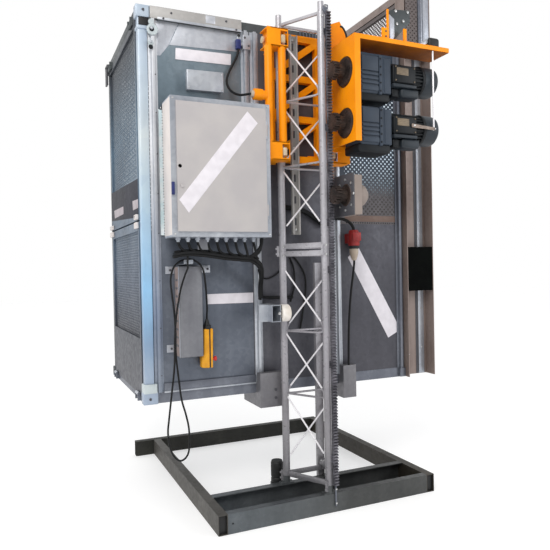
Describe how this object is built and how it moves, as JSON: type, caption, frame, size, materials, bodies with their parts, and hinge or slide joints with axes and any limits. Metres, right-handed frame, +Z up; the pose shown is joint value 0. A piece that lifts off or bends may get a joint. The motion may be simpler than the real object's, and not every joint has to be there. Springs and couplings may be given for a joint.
{
  "type": "rack and pinion material hoist",
  "caption": "Material hoist: a wire-walled cage climbs a triangular lattice mast by rack and pinion, with a floor frame, gearmotor drive, control cabinet, ramp, flap and sliding gate.",
  "frame": {"origin": "on the floor under the axis of the mast's front leg, on the underside of the mast tray", "axes": "+Z up along the mast, +Y from the mast's front leg towards the cage, +X to the right seen from the front"},
  "size_m": [2.253, 1.983, 3.788],
  "materials": {
    "base_paint": "dark industrial paint, worn",
    "galvanised_steel": "hot-dip galvanised, spangled",
    "column_steel": "brown-grey painted steel",
    "rack_steel": "oiled steel",
    "yellow_paint": "yellow-orange enamel",
    "gear_iron": "slate paint on cast iron",
    "motor_iron": "near-black paint on cast iron",
    "safety_paint": "grey paint",
    "grey_paint": "light grey powder coat",
    "control_plastic": "moulded plastic",
    "blue_plastic": "blue moulded plastic",
    "cable_rubber": "black rubber",
    "pendant_plastic": "yellow moulded plastic",
    "red_plastic": "red moulded plastic",
    "roller_steel": "turned steel",
    "nylon": "natural nylon",
    "weight_iron": "black paint on cast iron"
  },
  "bodies": {
    "base": {"base_side_tubes": "base_paint", "rear_base_beam": "base_paint", "mast_tray": "galvanised_steel", "mast_section_lower": "galvanised_steel", "mast_section_upper": "galvanised_steel", "rack_lower": "rack_steel", "rack_upper": "rack_steel", "joint_hardware": "galvanised_steel", "buffer_stand": "galvanised_steel", "rubber_buffer": "cable_rubber", "limit_rail": "galvanised_steel"},
    "cage": {"cage_floor": "galvanised_steel", "cage_roof": "galvanised_steel", "left_posts": "galvanised_steel", "gate_column_front": "column_steel", "gate_column_rear": "column_steel", "front_sheets": "galvanised_steel", "front_uprights": "galvanised_steel", "front_right_sheets": "galvanised_steel", "rear_wall": "galvanised_steel", "carriage_left_column": "yellow_paint", "carriage_right_column": "yellow_paint", "carriage_truss": "yellow_paint", "drive_plate": "yellow_paint", "motor_shelf": "yellow_paint", "gearbox_upper": "gear_iron", "gearbox_lower": "gear_iron", "motor_upper": "motor_iron", "motor_lower": "motor_iron", "safety_device": "safety_paint", "strike_boxes": "galvanised_steel", "cabinet_body": "galvanised_steel", "cabinet_gear": "control_plastic", "resistor_box": "grey_paint", "junction_box": "galvanised_steel", "limit_switch": "blue_plastic", "nylon_bracket": "galvanised_steel", "cable_harness": "cable_rubber", "pendant": "pendant_plastic", "power_coupling": "red_plastic", "shelf_fittings": "galvanised_steel", "pendant_cable": "cable_rubber", "plug_cable": "cable_rubber"},
    "pinion_upper": {"pinion_upper": "rack_steel"},
    "pinion_lower": {"pinion_lower": "rack_steel"},
    "pinion_safety": {"pinion_safety": "rack_steel"},
    "roller_top_left": {"roller_top_left": "roller_steel"},
    "roller_top_right": {"roller_top_right": "roller_steel"},
    "roller_low_left": {"roller_low_left": "roller_steel"},
    "roller_low_right": {"roller_low_right": "roller_steel"},
    "roller_back_left": {"roller_back_left": "roller_steel"},
    "roller_back_right": {"roller_back_right": "roller_steel"},
    "nylon_roller": {"nylon_roller": "nylon"},
    "left_ramp": {"left_ramp": "galvanised_steel"},
    "left_flap": {"left_flap": "galvanised_steel"},
    "right_gate": {"right_gate": "column_steel"},
    "counterweight": {"counterweight": "weight_iron"},
    "cabinet_door": {"cabinet_door": "grey_paint"},
    "estop_button": {"estop_button": "red_plastic"},
    "brake_rod": {"brake_rod": "galvanised_steel"}
  },
  "joints": [
    {"name": "lift", "type": "slide", "parent": "base", "child": "cage", "axis": [0, 0, 1], "range_m": [-0.36, 0.06]},
    {"name": "pinion_upper_spin", "type": "hinge", "parent": "cage", "child": "pinion_upper", "pos_m": [0.031, -0.098, 2.79109], "axis": [1, 0, 0], "range_deg": [-70, 410]},
    {"name": "pinion_lower_spin", "type": "hinge", "parent": "cage", "child": "pinion_lower", "pos_m": [0.031, -0.098, 2.47065], "axis": [1, 0, 0], "range_deg": [-70, 410]},
    {"name": "pinion_safety_spin", "type": "hinge", "parent": "cage", "child": "pinion_safety", "pos_m": [0.031, -0.098, 2.01826], "axis": [1, 0, 0], "range_deg": [-70, 410]},
    {"name": "roller_top_left_spin", "type": "hinge", "parent": "cage", "child": "roller_top_left", "pos_m": [-0.19787, 0.23885, 3.062], "axis": [0.8192, -0.5736, 0], "range_deg": [-110, 635]},
    {"name": "roller_top_right_spin", "type": "hinge", "parent": "cage", "child": "roller_top_right", "pos_m": [0.19787, 0.23885, 3.062], "axis": [0.8192, 0.5736, 0], "range_deg": [-110, 635]},
    {"name": "roller_low_left_spin", "type": "hinge", "parent": "cage", "child": "roller_low_left", "pos_m": [-0.19787, 0.23885, 2.328], "axis": [0.8192, -0.5736, 0], "range_deg": [-110, 635]},
    {"name": "roller_low_right_spin", "type": "hinge", "parent": "cage", "child": "roller_low_right", "pos_m": [0.19787, 0.23885, 2.328], "axis": [0.8192, 0.5736, 0], "range_deg": [-110, 635]},
    {"name": "roller_back_left_spin", "type": "hinge", "parent": "cage", "child": "roller_back_left", "pos_m": [-0.21462, 0.31444, 2.328], "axis": [-0.5, -0.866, 0], "range_deg": [-110, 635]},
    {"name": "roller_back_right_spin", "type": "hinge", "parent": "cage", "child": "roller_back_right", "pos_m": [0.21462, 0.31444, 2.328], "axis": [-0.5, 0.866, 0], "range_deg": [-110, 635]},
    {"name": "nylon_roller_spin", "type": "hinge", "parent": "cage", "child": "nylon_roller", "pos_m": [-0.198, 0.20549, 1.272], "axis": [1, 0, 0], "range_deg": [-65, 375]},
    {"name": "ramp_hinge", "type": "hinge", "parent": "cage", "child": "left_ramp", "pos_m": [-1.095, 1, 0.771], "axis": [0, -1, 0], "range_deg": [0, 100]},
    {"name": "flap_hinge", "type": "hinge", "parent": "cage", "child": "left_flap", "pos_m": [-1.095, 1, 3.15], "axis": [0, 1, 0], "range_deg": [0, 100]},
    {"name": "gate_slide", "type": "slide", "parent": "cage", "child": "right_gate", "axis": [0, 0, 1], "range_m": [-1.4, 0]},
    {"name": "counterweight_slide", "type": "slide", "parent": "cage", "child": "counterweight", "axis": [0, 0, 1], "range_m": [0, 1.4]},
    {"name": "cabinet_door_hinge", "type": "hinge", "parent": "cage", "child": "cabinet_door", "pos_m": [-0.341, 0.1127, 2.183], "axis": [0, 0, 1], "range_deg": [0, 110]},
    {"name": "estop_press", "type": "slide", "parent": "cage", "child": "estop_button", "axis": [-1, 0, 0], "range_m": [0, 0.004], "stiffness_N_per_m": 1500, "springref_m": -0.004},
    {"name": "brake_release", "type": "slide", "parent": "cage", "child": "brake_rod", "axis": [0, 0, 1], "range_m": [0, 0.015]}
  ],
  "couplings": [
    {"joint": "pinion_upper_spin", "follows": "lift", "rad_per_m": -19.608},
    {"joint": "pinion_lower_spin", "follows": "lift", "rad_per_m": -19.608},
    {"joint": "pinion_safety_spin", "follows": "lift", "rad_per_m": -19.608},
    {"joint": "roller_top_left_spin", "follows": "lift", "rad_per_m": -30.303},
    {"joint": "roller_top_right_spin", "follows": "lift", "rad_per_m": -30.303},
    {"joint": "roller_low_left_spin", "follows": "lift", "rad_per_m": -30.303},
    {"joint": "roller_low_right_spin", "follows": "lift", "rad_per_m": -30.303},
    {"joint": "roller_back_left_spin", "follows": "lift", "rad_per_m": -30.303},
    {"joint": "roller_back_right_spin", "follows": "lift", "rad_per_m": -30.303},
    {"joint": "nylon_roller_spin", "follows": "lift", "rad_per_m": -17.857},
    {"joint": "counterweight_slide", "follows": "gate_slide", "ratio": -1}
  ]
}
